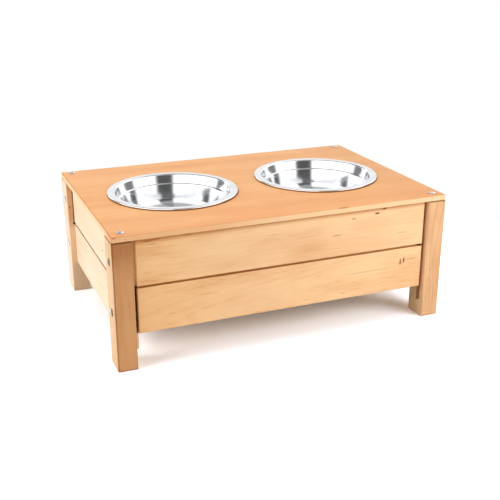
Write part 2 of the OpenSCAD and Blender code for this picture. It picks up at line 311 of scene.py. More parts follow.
def wood(name, along, pale, deep, seed, pith=(0.02, -0.05), ring_mm=4.0, rings=0.5, fibre=0.35, broad=0.35,
         tilt=0.02, knots=(), streaks=(), shades=(), ring_shadows=(), flecks=0.15, sheen=0.2, rough=0.5, sawn=0.0):
    """A board of solid wood.

    along is the grain's axis, and pith is where the middle of the rings lies, across the grain. rings, fibre,
    broad and flecks say how much each of them darkens the wood. knots and streaks are (middle, (half length,
    half width), strength), and the rings bend round a knot. ring_shadows are the painted shadow lines round what
    stands on the board, (middle, radius, width, strength). sawn is how rough the saw has left it.
    """
    material, n = new_material(name)
    place = n.add("ShaderNodeTexCoord").outputs["Object"]
    axes = n.parts(place)
    turned = n.add("ShaderNodeCombineXYZ", {i: axes[axis] for i, axis in enumerate(GRAIN_FIRST[along])}).outputs[0]
    board = n.mapped(turned, Rotation=(0, tilt * 0.6, tilt))
    field = n.mapped(board, Location=(seed * 0.731 % 1, seed * 0.377 % 1, seed * 0.593 % 1))

    def grain(lengthwise, across, detail=2, rough=0.5):
        """Noise with this many waves to the metre along the grain and across it."""
        return n.noise(n.mapped(field, Scale=(lengthwise, across, across)), 1, detail, rough)

    # Knots and streaks
    mark, swirl = 0.0, 0.0
    for is_knot, marks in ((True, knots), (False, streaks)):
        for middle, (half_length, half_width), strength in marks:
            away = n.parts(n.vector_calc("SUBTRACT", place, middle))
            near = n.length(*(n.calc("DIVIDE", away[axis], half)
                              for axis, half in zip(GRAIN_FIRST[along], (half_length, half_width, half_width))))
            edge = n.calc("ADD", near, n.sway(grain(60, 420), 0.9))
            mark = n.calc("ADD", mark, n.calc("MULTIPLY", n.fade(edge, *MARK_EDGE), strength))
            if is_knot:
                swirl = n.calc("ADD", swirl, n.calc("MULTIPLY", n.fade(near, KNOT_REACH, 0.0), KNOT_SWIRL))

    # Rings, fibres, pores and slow changes of tone, each with its share in how deep the colour is
    ring = growth_rings(n, board, grain, pith, ring_mm, swirl)
    fine = n.calc("SUBTRACT", grain(14, 900, detail=3, rough=0.6), 0.5)
    pores = n.fade(grain(55, 1500, detail=1), 0.68, 0.8)
    dashes = n.fade(grain(24, 420), 0.58, 0.76)
    clouds = n.calc("SUBTRACT", grain(9, 24, detail=3), 0.5)
    tone = n.calc("SUBTRACT", grain(3.2, 18, detail=3, rough=0.55), 0.5)
    amount = 0.26
    for part, share in ((pores, 0.25), (dashes, flecks), (clouds, broad), (tone, broad * 2), (fine, fibre),
                        (ring, rings)):
        amount = n.calc("MULTIPLY_ADD", part, share, amount)
    between = tuple(a * 0.62 + b * 0.38 for a, b in zip(pale, deep))
    colour = n.ramp(amount, [(0.0, pale), (0.45, between), (1.0, deep)])

    # What lies over the wood's own colour
    if shades:
        colour = lay_shades(n, colour, place, shades, n.sway(grain(30, 120), 0.0008))
    # Painted shadow lines round what stands on the board
    for middle, radius, width, strength in ring_shadows:
        away = n.vector_calc("DISTANCE", place, middle)
        outside = n.fade(away, radius + width, radius)
        inside = n.fade(away, *(radius - inwards for inwards in LINE_INSIDE))
        colour = n.blend(n.all_of(outside, inside, strength), colour, (*SHADOW, 1), "MULTIPLY")
    if knots or streaks:
        colour = n.blend(n.calc("MINIMUM", mark, 1.0), colour, (*times(deep, *BURNT), 1))

    polish = n.calc("MULTIPLY_ADD", fine, 0.25, rough)
    height = n.calc("MULTIPLY_ADD", fine, 0.6, n.calc("MULTIPLY", ring, 0.4))
    relief = PLANED_RELIEF
    if sawn:
        teeth, fuzz = grain(900, 60, rough=0.6), grain(160, 900, rough=0.7)
        colour = n.blend(n.all_of(n.fade(teeth, 0.4, 0.75), sawn * 0.5), colour, (*times(deep, 0.6), 1))
        colour = n.blend(n.all_of(n.fade(fuzz, 0.55, 0.8), sawn * 0.45), colour, (*times(pale, 1.25), 1))
        height = n.calc("MULTIPLY_ADD", teeth, 1.2, n.calc("MULTIPLY_ADD", fuzz, 0.8, height))
        relief = SAWN_RELIEF
    normal = n.add("ShaderNodeBump", {"Height": height, "Strength": 0.5, "Distance": relief}).outputs[0]
    surface = n.add("ShaderNodeBsdfPrincipled", {"Base Color": colour, "Roughness": polish, "Normal": normal,
                                                 "Specular IOR Level": sheen})
    n.add("ShaderNodeOutputMaterial", {"Surface": surface.outputs[0]})
    return material


def steel(name, tint, rough, scratch, spun_round=None, shades=()):
    """Bare metal with the fine lines of its polishing. They run round the upright axis at the X of spun_round, if
    the piece was spun."""
    material, n = new_material(name)
    place = n.add("ShaderNodeTexCoord").outputs["Object"]
    if spun_round is None:
        lines = n.noise(n.mapped(place, Scale=(900, 2600, 2600)))
        smear = n.noise(place, 220)
    else:
        centred = n.mapped(place, Location=(-spun_round, 0, 0))
        axes = n.parts(centred)
        up_the_wall = n.calc("MULTIPLY_ADD", axes["Z"], 0.9, n.length(axes["X"], axes["Y"]))
        angle = n.calc("ABSOLUTE", n.calc("ARCTAN2", axes["Y"], axes["X"]))
        round_it = n.add("ShaderNodeCombineXYZ", {"X": n.calc("MULTIPLY", up_the_wall, 2600),
                                                  "Y": n.calc("MULTIPLY", angle, 1.5)}).outputs[0]
        lines = n.noise(round_it, 1, 3, 0.6)
        smear = n.noise(n.mapped(centred, Scale=(30, 30, 60)), 1, 3)
    polish = n.calc("ADD", n.calc("MULTIPLY_ADD", lines, 0.07, rough - 0.05), n.calc("MULTIPLY", smear, 0.05))
    colour = n.blend(n.fade(smear, 0.3, 0.75), (*tint, 1), (*times(tint, 0.9), 1))
    colour = lay_shades(n, colour, place, shades)
    normal = n.add("ShaderNodeBump", {"Height": lines, "Strength": scratch, "Distance": 0.00006}).outputs[0]
    surface = n.add("ShaderNodeBsdfPrincipled", {"Base Color": colour, "Metallic": 1.0, "Roughness": polish,
                                                 "Normal": normal})
    n.add("ShaderNodeOutputMaterial", {"Surface": surface.outputs[0]})
    return material


def paint(node, material):
    """Gives one of the stand's own pieces its material."""
    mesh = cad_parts[node].data
    mesh.materials.clear()
    mesh.materials.append(material)


# Top board: reddish, with paler edges, painted light on its left end and the right part of its front edge, and
# painted shadow lines round the rims and the bolt heads
RIM_SHADOWS = [((x + 0.0002, -0.0007, BOARD_TOP), RIM_RADIUS, 0.0016, 0.9) for x in BOWL_X.values()]
TOP_BOLT_SHADOWS = [((top.x, top.y, BOARD_TOP), BOLT_HEAD / 2, 0.0011, 0.75)
                  for top, way, length in SEATS["top_bolts"]]
BOARD_FRONT_EDGE = ("Y", -0.2012, -0.2018)
BOARD_LEFT_END = ("X", -0.2990, -0.2996)
paint("top_board", wood(
    "honey_board", "X", HONEY, HONEY_DEEP, 3, pith=(0.3, -0.25), ring_mm=7, rings=0.14, fibre=0.45, broad=0.6,
    rough=0.48, sheen=0.16, ring_shadows=[*RIM_SHADOWS, *TOP_BOLT_SHADOWS],
    streaks=[((0.036, -0.0815, 0.230), (0.004, 0.001), 0.6),
             ((0.096, -0.201, 0.2295), (0.012, 0.0011), 0.6),
             ((-0.2955, -0.202, 0.2285), (0.0035, 0.0012), 0.6)],
    shades=[tinted(1.0, (1.0, 0.95, 0.92), ("Y", 0.0, -0.19), ("X", -0.24, -0.08)),
            tinted(1.0, (0.94, 0.94, 0.97), ("X", 0.16, 0.28)),
            # Painted light: the left end is paler where the left light falls, and below, so is the right part of
            # the front edge
            toned(0.65, linear(252, 218, 176), BOARD_LEFT_END),
            tinted(0.5, BROWN, ("Z", 0.2225, 0.2203)),
            toned(0.7, linear(248, 200, 148), BOARD_FRONT_EDGE),
            toned(0.6, CREAM, BOARD_FRONT_EDGE, ("X", -0.16, 0.0)),
            tinted(0.75, ARRIS, ("X", -0.2972, -0.2988), ("Z", 0.2286, 0.2293)),
            tinted(0.25, ARRIS, ("Y", -0.2002, -0.2010), ("Y", -0.2020, -0.2015)),
            tinted(1.0, (0.74, 0.58, 0.40), BOARD_LEFT_END, ("Y", -0.140, -0.200))]))


# Planks: painted shade in the open groove and under the board's edge, and on the front ones painted shade
# towards the left end and painted light towards the right end
def front_mark(x, z, half_length, half_width, strength):
    return (x, FRONT_PANEL, z), (half_length, half_width), strength


UPPER_MARKS = [front_mark(0.1803, 0.2180, 0.0048, 0.0028, 1.0), front_mark(0.1663, 0.2100, 0.0052, 0.0017, 1.0),
               front_mark(0.1204, 0.2058, 0.0040, 0.0013, 0.55), front_mark(0.0903, 0.1799, 0.0100, 0.0011, 0.5),
               front_mark(0.2180, 0.1691, 0.0120, 0.0010, 0.25), front_mark(-0.2404, 0.2151, 0.0085, 0.0016, 0.4),
               front_mark(-0.2265, 0.2162, 0.0070, 0.0014, 0.4), front_mark(-0.2342, 0.2093, 0.0090, 0.0012, 0.3),
               front_mark(-0.1753, 0.2172, 0.0080, 0.0014, 0.4)]
LOWER_KNOTS = [front_mark(0.2186, 0.1120, 0.0022, 0.0062, 0.8), front_mark(0.2253, 0.1148, 0.0020, 0.0056, 0.85)]
LOWER_MARKS = [front_mark(0.1530, 0.1045, 0.0600, 0.0010, 0.26), front_mark(0.2400, 0.1165, 0.0160, 0.0011, 0.28),
               front_mark(0.1055, 0.0710, 0.0050, 0.0012, 0.35)]
# Painted light towards the right end of the front planks; painted shade under the board and in the groove
RIGHT_PART = ("X", -0.24, -0.04)
RIGHT_PAINTED_LIGHT = linear(255, 214, 172)
UNDER_BOARD_SHADE = tinted(1.0, (0.56, 0.39, 0.23), ("Z", 0.2100, 0.2200))
UNDER_LEFT_EDGE_SHADE = tinted(1.0, (0.55, 0.40, 0.27), ("Z", 0.2110, 0.2155))
GROOVE_SHADE_ABOVE = tinted(0.5, BROWN, ("Z", 0.1434, 0.1417))
GROOVE_SHADE_BELOW = tinted(0.85, linear(174, 128, 62), ("Z", 0.1373, 0.1388))

# The front planks are painted darker towards their left end, as painted shade
paint("front_upper_plank", wood(
    "fir_front_upper", "X", FIR, FIR_DEEP, 11, pith=(0.1, 0.45), ring_mm=6, rings=0.14, fibre=0.8, broad=1.2,
    flecks=0.4, streaks=UPPER_MARKS,
    shades=[tinted(1.0, (1.0, 0.96, 0.92), ("X", -0.14, -0.27)), toned(0.35, RIGHT_PAINTED_LIGHT, RIGHT_PART),
            UNDER_BOARD_SHADE, GROOVE_SHADE_ABOVE,
            tinted(0.5, (0.86, 0.74, 0.62), ("Z", 0.200, 0.2195), ("X", -0.08, -0.15))]))
paint("front_lower_plank", wood(
    "fir_front_lower", "X", FIR, FIR_DEEP, 17, pith=(-0.12, 0.07), ring_mm=6, rings=0.22, tilt=0.05, fibre=1.0,
    broad=1.0, flecks=0.5, knots=LOWER_KNOTS, streaks=LOWER_MARKS,
    shades=[tinted(1.0, (0.99, 0.91, 0.84), ("X", -0.08, -0.27)), toned(0.2, RIGHT_PAINTED_LIGHT, RIGHT_PART),
            # Near-black painted shade in the groove's open right end, and painted shade on the plank's left end in
            # its slot
            GROOVE_SHADE_BELOW, tinted(1.0, DEEP_SHADE, ("Z", 0.1376, 0.1386), ("X", 0.2500, 0.2540)),
            tinted(0.3, DEEP_SHADE, ("X", -0.2598, -0.2608))]))
paint("back_upper_plank", wood(
    "fir_back_upper", "X", FIR, FIR_DEEP, 23, pith=(0.25, 0.16), ring_mm=5, rings=0.35, fibre=0.8, broad=0.7,
    knots=[((-0.13, BACK_PANEL, 0.190), (0.006, 0.006), 0.8)], shades=[UNDER_BOARD_SHADE, GROOVE_SHADE_ABOVE]))
paint("back_lower_plank", wood(
    "fir_back_lower", "X", FIR, FIR_DEEP, 29, pith=(0.1, -0.2), ring_mm=4.5, rings=0.3, fibre=0.8, broad=0.7,
    streaks=[((0.06, BACK_PANEL, 0.105), (0.02, 0.0009), 0.6)], shades=[GROOVE_SHADE_BELOW]))
# The left planks' paler wood is partly painted light, from the strong light on the left
paint("left_upper_plank", wood(
    "fir_left_upper", "Y", PALE_FIR, PALE_FIR_DEEP, 31, pith=(-0.1, 0.35), ring_mm=5, rings=0.25, fibre=0.7,
    broad=0.6, streaks=[((LEFT_PANEL, -0.0862, 0.1682), (0.004, 0.0014), 0.8)],
    shades=[UNDER_LEFT_EDGE_SHADE, GROOVE_SHADE_ABOVE]))
paint("left_lower_plank", wood(
    "fir_left_lower", "Y", PALE_FIR, PALE_FIR_DEEP, 37, pith=(-0.2, 0.12), ring_mm=5, rings=0.3, fibre=0.7,
    broad=0.6, streaks=[((LEFT_PANEL, -0.045, 0.1105), (0.03, 0.0006), 0.3),
                        ((LEFT_PANEL, -0.06, 0.098), (0.02, 0.0005), 0.25)], shades=[GROOVE_SHADE_BELOW]))
paint("right_upper_plank", wood(
    "fir_right_upper", "Y", FIR, FIR_DEEP, 41, pith=(0.35, 0.1), ring_mm=5, rings=0.35, fibre=0.8, broad=0.7,
    shades=[UNDER_BOARD_SHADE, GROOVE_SHADE_ABOVE]))
paint("right_lower_plank", wood(
    "fir_right_lower", "Y", FIR, FIR_DEEP, 43, pith=(0.1, 0.3), ring_mm=5, rings=0.3, fibre=0.8, broad=0.7,
    knots=[((RIGHT_PANEL, 0.06, 0.092), (0.006, 0.005), 0.7)], shades=[GROOVE_SHADE_BELOW]))

# Legs: pale side faces and browner fronts, partly painted light and shade for the strong light from the left,
# darker arrises, and painted shade where the board rests on them
# Painted shade at the top of each leg, where the board rests on it
LEG_TOP_SHADE = tinted(0.7, SHADOW, ("Z", 0.2172, 0.2194))
LEG_FOOT = tinted(0.6, BROWN, ("Z", 0.0028, 0.0008))
LEFT_SIDE = ("X", -0.2992, -0.2998)
FRONT_ARRIS = ("Y", -0.1990, -0.2002)
BACK_LEG_FACE = ("Y", 0.159, 0.158)
BACK_LEG_EDGE = ("Y", 0.1576, 0.1572)
# The front left leg: its front is painted browner than its pale side, partly as painted shade, darker towards the
# top, with darker arrises
FRONT_LEFT_SHADES = [tinted(1.0, (0.95, 0.91, 0.81), LEFT_SIDE),
                     tinted(1.0, (0.88, 0.65, 0.46), ("Y", -0.2008, -0.2016)),
                     tinted(0.55, BROWN, ("Z", 0.150, 0.222), ("Y", -0.2005, -0.2015)),
                     tinted(0.9, ARRIS, ("X", -0.2972, -0.2986), FRONT_ARRIS),
                     tinted(0.15, ARRIS, ("X", -0.2696, -0.2682), FRONT_ARRIS)]
# Painted light on the front right leg's inner face
FRONT_RIGHT_SHADES = [toned(0.5, CREAM, ("X", 0.2676, 0.2672))]
# The back left leg: painted light makes its left side near white, its front face is darker above and paler below,
# and near-black painted shade marks the groove's open end beside it
BACK_LEFT_SHADES = [toned(0.6, linear(255, 236, 214), LEFT_SIDE),
                    tinted(0.9, (0.88, 0.74, 0.63), BACK_LEG_FACE, ("Z", 0.125, 0.150)),
                    toned(0.5, linear(250, 218, 184), BACK_LEG_FACE, ("Z", 0.150, 0.125)),
                    tinted(0.9, DEEP_SHADE, ("X", -0.2912, -0.2898), BACK_LEG_EDGE, ("Z", 0.139, 0.142)),
                    tinted(1.0, DEEP_SHADE, ("X", -0.2925, -0.2912), BACK_LEG_EDGE, ("Z", 0.1365, 0.1385),
                           ("Z", 0.1435, 0.1415))]
FRONT_RIGHT_MARKS = [((0.2785, LEG_FRONT, 0.0925), (0.006, 0.0008), 0.6),
                     ((0.2816, LEG_FRONT, 0.1054), (0.008, 0.0006), 0.5),
                     ((0.2765, LEG_FRONT, 0.0715), (0.005, 0.0006), 0.4)]
BACK_LEFT_MARKS = [((-0.296, 0.157, 0.172), (0.003, 0.0014), 0.7)]


def bolt_shadows(leg):
    """Painted shadow lines round the bolt heads in the outer side of a leg, a little heavier towards the front."""
    return [((math.copysign(HALF_WIDTH, top.x), top.y - 0.002, top.z), BOLT_HEAD / 2, 0.0012, 0.95)
            for top, way, length in SEATS["leg_bolts"]
            if (top.x < 0) == ("left" in leg) and (top.y < 0) == ("front" in leg)]


for seed, leg, pale, deep, pith, marks, shades in (
        (50, "front_left_leg", PALE_LEG, PALE_LEG_DEEP, (-0.20, -0.25), [], FRONT_LEFT_SHADES),
        (57, "front_right_leg", LEG, LEG_DEEP, (0.22, -0.3), FRONT_RIGHT_MARKS, FRONT_RIGHT_SHADES),
        (64, "back_left_leg", PALE_LEG, PALE_LEG_DEEP, (-0.25, 0.1), BACK_LEFT_MARKS, BACK_LEFT_SHADES),
        (71, "back_right_leg", LEG, LEG_DEEP, (0.3, 0.12), [], [])):
    paint(leg, wood("fir_" + leg, "Z", pale, deep, seed, pith=pith, ring_mm=4, rings=0.3, fibre=0.9, broad=1.1,
                    flecks=0.35, tilt=0.015, streaks=marks, shades=[LEG_TOP_SHADE, LEG_FOOT, *shades],
                    ring_shadows=bolt_shadows(leg)))

# Rough-sawn wood: the right front strip's front edge is stained brown, and the left one's is painted near black
# in its slot, as painted shade
STRIP_FACE = ("Y", -0.1885, -0.1897)
STRIP_STAINS_AND_SHADE = {
    "front_left_strip": [tinted(1.0, linear(30, 12, 8), STRIP_FACE, ("Z", 0.1425, 0.1405), ("Z", 0.058, 0.061))],
    "front_right_strip": [tinted(0.85, linear(160, 116, 74), STRIP_FACE, ("Z", 0.058, 0.061)),
                          tinted(0.9, linear(150, 112, 72), STRIP_FACE, ("Z", 0.061, 0.058))]}
UPRIGHTS = ["front_left_strip", "front_right_strip", "back_left_strip", "back_right_strip",
            "front_left_batten", "front_right_batten", "back_left_batten", "back_right_batten",
            "left_end_front_batten", "left_end_back_batten", "right_end_front_batten", "right_end_back_batten"]
LEDGERS = {"front_ledger": "X", "back_ledger": "X", "left_ledger": "Y", "right_ledger": "Y"}


def rough_sawn(node, along, seed, pith, shades=()):
    paint(node, wood("sawn_" + node, along, RAW, RAW_DEEP, seed, pith=pith, ring_mm=3.5, rings=0.45, sawn=1.0,
                     rough=0.8, sheen=0.1, shades=shades))


for i, upright in enumerate(UPRIGHTS):
    rough_sawn(upright, "Z", 90 + 5 * i, (0.1, 0.02 * i), STRIP_STAINS_AND_SHADE.get(upright, ()))
for i, (ledger, along) in enumerate(LEDGERS.items()):
    rough_sawn(ledger, along, 170 + 5 * i, (0.05, 0.1))
paint("storage_floor", wood("pale_floor_board", "X", RAW, RAW_DEEP, 201, pith=(0.4, -0.5), ring_mm=8, rings=0.3,
                            rough=0.65, sheen=0.15))

# Zinc-plated steel. The bolt heads of the front left leg are darker towards the front, a painted shade.
ZINC = steel("bright_zinc", (0.90, 0.89, 0.87), 0.32, 0.2)
SHADED_ZINC = steel("shaded_zinc", (0.93, 0.92, 0.88), 0.3, 0.2,
                    shades=[tinted(0.9, (0.26, 0.21, 0.13), ("X", -0.2990, -0.2998), ("Y", -0.1775, -0.1820))])


# Bowls: the wall's section, spun round the bowl's own axis
def arc(before, corner, after, radius, steps):
    """Points of the arc that rounds a corner of the section."""
    back, on = (before - corner).normalized(), (after - corner).normalized()
    half = back.angle(on) / 2
    middle = corner + (back + on).normalized() * radius / math.sin(half)
    start = corner + back * radius / math.tan(half) - middle
    end = corner + on * radius / math.tan(half) - middle
    first = math.atan2(start.y, start.x)
    turn = math.atan2(start.x * end.y - start.y * end.x, start.dot(end))
    return [middle + radius * Vector((math.cos(first + turn * i / steps), math.sin(first + turn * i / steps)))
            for i in range(steps + 1)]


def bowl_section():
    """Closed outline of the wall's section, (radius, height), from the middle of the floor round the rolled edge
    and back under the floor."""
    top = BOARD_TOP + RIM_SEAT + BEAD
    flange_z = top - SHEET / 2
    mouth = RIM_RADIUS - RIM_WIDTH - SHEET / 2
    step_z = top - STEP_DEPTH
    step_out = mouth - (flange_z - step_z) * math.tan(UPPER_SLOPE)
    step_in = step_out - STEP_WIDTH
    floor_z = top - BOWL_HEIGHT + SHEET / 2
    foot = step_in - (step_z - floor_z) * math.tan(LOWER_SLOPE)
    middle, corner = Vector((0, floor_z)), Vector((foot, floor_z))
    step_foot, step_head = Vector((step_in, step_z)), Vector((step_out, step_z))
    lip, edge = Vector((mouth, flange_z)), Vector((RIM_RADIUS - BEAD / 2, flange_z))
    path = [middle, *(middle.lerp(corner, share) for share in (0.15, 0.3, 0.45, 0.6)),
            *arc(middle, corner, step_foot, FLOOR_ROUND, 18),
            *arc(corner, step_foot, step_head, STEP_ROUND, 6),
            *arc(step_foot, step_head, lip, STEP_ROUND, 6),
            *arc(step_head, lip, edge, MOUTH_ROUND, 8), edge]
    inner, outer = [], []
    for i, point in enumerate(path):
        way = path[min(i + 1, len(path) - 1)] - path[max(i - 1, 0)]
        side = Vector((-way.y, way.x)).normalized() * SHEET / 2
        inner.append(point + side)
        outer.append(point - side)
    bead = Vector((RIM_RADIUS - BEAD / 2, top - BEAD / 2))
    turns = [math.radians(ROLL_START + i * ROLL_TURN / ROLL_STEPS) for i in range(ROLL_STEPS + 1)]
    roll = [bead + Vector((math.sin(turn), math.cos(turn))) * BEAD / 2 for turn in turns]
    inner[0].x = outer[0].x = 0
    return inner + roll + outer[::-1][1:]


def geometry_tree(name, inputs):
    """A geometry tree with these inputs, (label, kind, value or None), and one shape as its output."""
    tree = bpy.data.node_groups.new(name, "GeometryNodeTree")
    for label, kind, value in inputs:
        socket = tree.interface.new_socket(label, in_out="INPUT", socket_type="NodeSocket" + kind)
        if value is not None:
            socket.default_value = value
    tree.interface.new_socket("Piece", in_out="OUTPUT", socket_type="NodeSocketGeometry")
    n = Nodes(tree)
    return tree, n, n.add("NodeGroupInput").outputs


def finish_tree(n, shape, material):
    real = n.add("GeometryNodeRealizeInstances", {"Geometry": shape})
    done = n.add("GeometryNodeSetMaterial", {"Geometry": real.outputs[0], "Material": material})
    n.add("NodeGroupOutput", {"Piece": done.outputs[0]})


def spinning_tree():
    """Geometry nodes that spin a section, drawn as a line in X and Z, round the Z axis. The section is swept along
    a circle of the throat's radius, so it is first moved inwards by as much."""
    tree, n, given = geometry_tree("spun_bowl", (
        ("Section", "Geometry", None), ("Turning Steps", "Int", 160), ("Throat Radius", "Float", 0.05),
        ("Finish", "Material", None)))
    circle = n.add("GeometryNodeCurvePrimitiveCircle",
                   {"Resolution": given["Turning Steps"], "Radius": given["Throat Radius"]})
    inwards = n.add("ShaderNodeCombineXYZ", {"X": n.calc("MULTIPLY", given["Throat Radius"], -1.0)})
    line = n.add("GeometryNodeMeshToCurve", {"Mesh": given["Section"]})
    moved = n.add("GeometryNodeTransform", {"Geometry": line.outputs[0], "Translation": inwards.outputs[0]})
    laid = n.add("GeometryNodeTransform", {"Geometry": moved.outputs[0], "Rotation": (math.pi / 2, 0, 0)})
    swept = n.add("GeometryNodeCurveToMesh", {"Curve": circle.outputs[0], "Profile Curve": laid.outputs[0]})
    merged = n.add("GeometryNodeMergeByDistance", {"Geometry": swept.outputs[0], "Distance": 0.00001})
    smooth = n.add("GeometryNodeSetShadeSmooth", {"Geometry": merged.outputs[0], "Shade Smooth": True})
    finish_tree(n, smooth.outputs[0], given["Finish"])
    return tree


def through_nodes(name, mesh, tree, **values):
    """A plain mesh object made by running a mesh through a geometry tree with these inputs."""
    source = add_to_scene(name + "_source", mesh)
    modifier = source.modifiers.new("shape", "NODES")
    modifier.node_group = tree
    for item in tree.interface.items_tree:
        if item.in_out == "INPUT" and item.name in values:
            modifier[item.identifier] = values[item.name]
    bpy.context.view_layer.update()
    made = bpy.data.meshes.new_from_object(source.evaluated_get(bpy.context.evaluated_depsgraph_get()))
    bpy.data.objects.remove(source)
    made.name = name
    return add_to_scene(name, made)


def face_outwards(mesh):
    """Joins the points that meet and turns every face outwards."""
    shape = bmesh.new()
    shape.from_mesh(mesh)
    bmesh.ops.remove_doubles(shape, verts=shape.verts, dist=MERGED)
    bmesh.ops.recalc_face_normals(shape, faces=shape.faces)
    shape.to_mesh(mesh)
    shape.free()


spin = spinning_tree()
outline = bowl_section()
for name, x in BOWL_X.items():
    section = bpy.data.meshes.new(name + "_section")
    section.from_pydata([(p.x, 0, p.y) for p in outline], [(i, i + 1) for i in range(len(outline) - 1)], [])
    finish = steel("spun_steel_" + name, (0.91, 0.92, 0.94), 0.11, 0.2, spun_round=x)
    bowl = through_nodes(name + "_spun", section, spin, Finish=finish)
    bowl.data.transform(Matrix.Translation((x, 0, 0)))
    face_outwards(bowl.data)
    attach(bowl, name + "_body")
    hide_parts(name)


# Fasteners: one of each sort, set by geometry nodes at each place of the stand's drawing
def seating_tree():
    """Geometry nodes that set a fastener on each point, its axis along the head_way of the point, and turn it
    round that axis by chance."""
    tree, n, given = geometry_tree("seated_fasteners", (
        ("Seats", "Geometry", None), ("Fastener", "Object", None), ("Turn Seed", "Int", 5),
        ("Finish", "Material", None)))
    one = n.add("GeometryNodeObjectInfo", {"Object": given["Fastener"]}).outputs["Geometry"]
    way = n.add("GeometryNodeInputNamedAttribute", {"Name": "head_way"}, data_type="FLOAT_VECTOR")
    aimed = n.add("FunctionNodeAlignRotationToVector", {"Vector": way.outputs["Attribute"]}, axis="Z")
    turn = n.add("FunctionNodeRandomValue",
                 {"Min": (0.0, 0.0, 0.0), "Max": (0.0, 0.0, 6.28), "Seed": given["Turn Seed"]},
                 data_type="FLOAT_VECTOR").outputs["Value"]
    turned = n.add("FunctionNodeRotateRotation", {"Rotation": aimed.outputs[0], "Rotate By": turn},
                   rotation_space="LOCAL")
    seated = n.add("GeometryNodeInstanceOnPoints",
                   {"Points": given["Seats"], "Instance": one, "Rotation": turned.outputs[0]})
    finish_tree(n, seated.outputs[0], given["Finish"])
    return tree


def lathe(name, section, recess, sides, depth, steps=36):
    """A turned fastener along Z with its top at 0. section is (radius, height) from the recess outwards and down.
    The recess has flat sides, this far from the axis."""
    shape = bmesh.new()
    turns = [2 * math.pi * i / steps for i in range(steps)]

    def ring(radii, height):
        return [shape.verts.new((radius * math.cos(turn), radius * math.sin(turn), height))
                for radius, turn in zip(radii, turns)]

    flats = [recess / math.cos((i / steps * sides % 1 - 0.5) * 2 * math.pi / sides) for i in range(steps)]
    rings = [ring(flats, -depth), ring(flats, section[0][1])]
    rings += [ring([radius] * steps, height) for radius, height in section]
    for low, high in zip(rings, rings[1:]):
        for i in range(steps):
            shape.faces.new((low[i], low[(i + 1) % steps], high[(i + 1) % steps], high[i]))
    shape.faces.new(rings[0])
    shape.faces.new(rings[-1])
    bmesh.ops.recalc_face_normals(shape, faces=shape.faces)
    mesh = bpy.data.meshes.new(name)
    shape.to_mesh(mesh)
    shape.free()
    mesh.shade_smooth()
    mesh.set_sharp_from_angle(angle=math.radians(35))
    return add_to_scene(name, mesh)


def button_bolt(length):
    """A furniture bolt with a low domed head and a hex socket. The dome starts at the socket's edge."""
    radius, height, shank = BOLT_HEAD / 2, BOLT_HEAD_HEIGHT, BOLT_SHANK / 2
    drops = [height * (1 - math.sqrt(1 - (share * DOME_BEND) ** 2)) * DOME_DEPTH for share in DOME_SHARES]
    dome = [(radius * share, drops[0] - drop) for share, drop in zip(DOME_SHARES, drops)]
    section = [*dome, (radius, -height + BOLT_HEAD_EASE), (radius - BOLT_HEAD_EASE, -height), (shank, -height),
               (shank, -length + BOLT_END_BEVEL), (shank - BOLT_END_BEVEL, -length)]
    return lathe("button_bolt_pattern", section, HEX_KEY / 2, 6, height * 0.6)


def wood_screw(length):
    """A countersunk wood screw with a small square recess."""
    radius, shank = SCREW_HEAD / 2, SCREW_SHANK / 2
    point_radius, point_length = SCREW_POINT
    section = [(radius * 0.45, 0), (radius - SCREW_HEAD_EASE, 0), (radius, -SCREW_HEAD_EASE),
               (shank, -radius * 0.5 - 0.0002), (shank, -length + point_length), (point_radius, -length)]
    return lathe("wood_screw_pattern", section, radius * 0.34, 4, SCREW_RECESS_DEPTH)


seat = seating_tree()
for node, seats in SEATS.items():
    points = bpy.data.meshes.new(node + "_seats")
    points.from_pydata([top for top, way, length in seats], [], [])
    ways = points.attributes.new("head_way", "FLOAT_VECTOR", "POINT")
    for point, (top, way, length) in zip(ways.data, seats):
        point.vector = way
    pattern = (button_bolt if node.endswith("bolts") else wood_screw)(seats[0][2])
    finish = SHADED_ZINC if node == "leg_bolts" else ZINC
    piece = through_nodes(node + "_set", points, seat, Fastener=pattern, Finish=finish)
    bpy.data.objects.remove(pattern)
    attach(piece, "stand")
    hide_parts(node)
for node in ("top_inserts", "leg_inserts"):
    paint(node, ZINC)

# Floor, light and camera. The camera's place and angles were worked out from the photo's straight edges.
AZIMUTH, ELEVATION = math.radians(-22.21), math.radians(20.53)
CAMERA_PLACE = (-0.56224, -1.40124, 0.66366)
CAMERA_LENS, CAMERA_SENSOR = 61.3, 36
FLOOR_REACH, FLOOR_Z = 6, -0.0002
FLOOR_LIT = (1.68, 1.74, 1.88, 1)
# The painted shadow's tint, beneath the middle of the stand
FLOOR_SHADOW_TINT = (0.83, 0.83, 0.91, 1)
FILL = 0.14


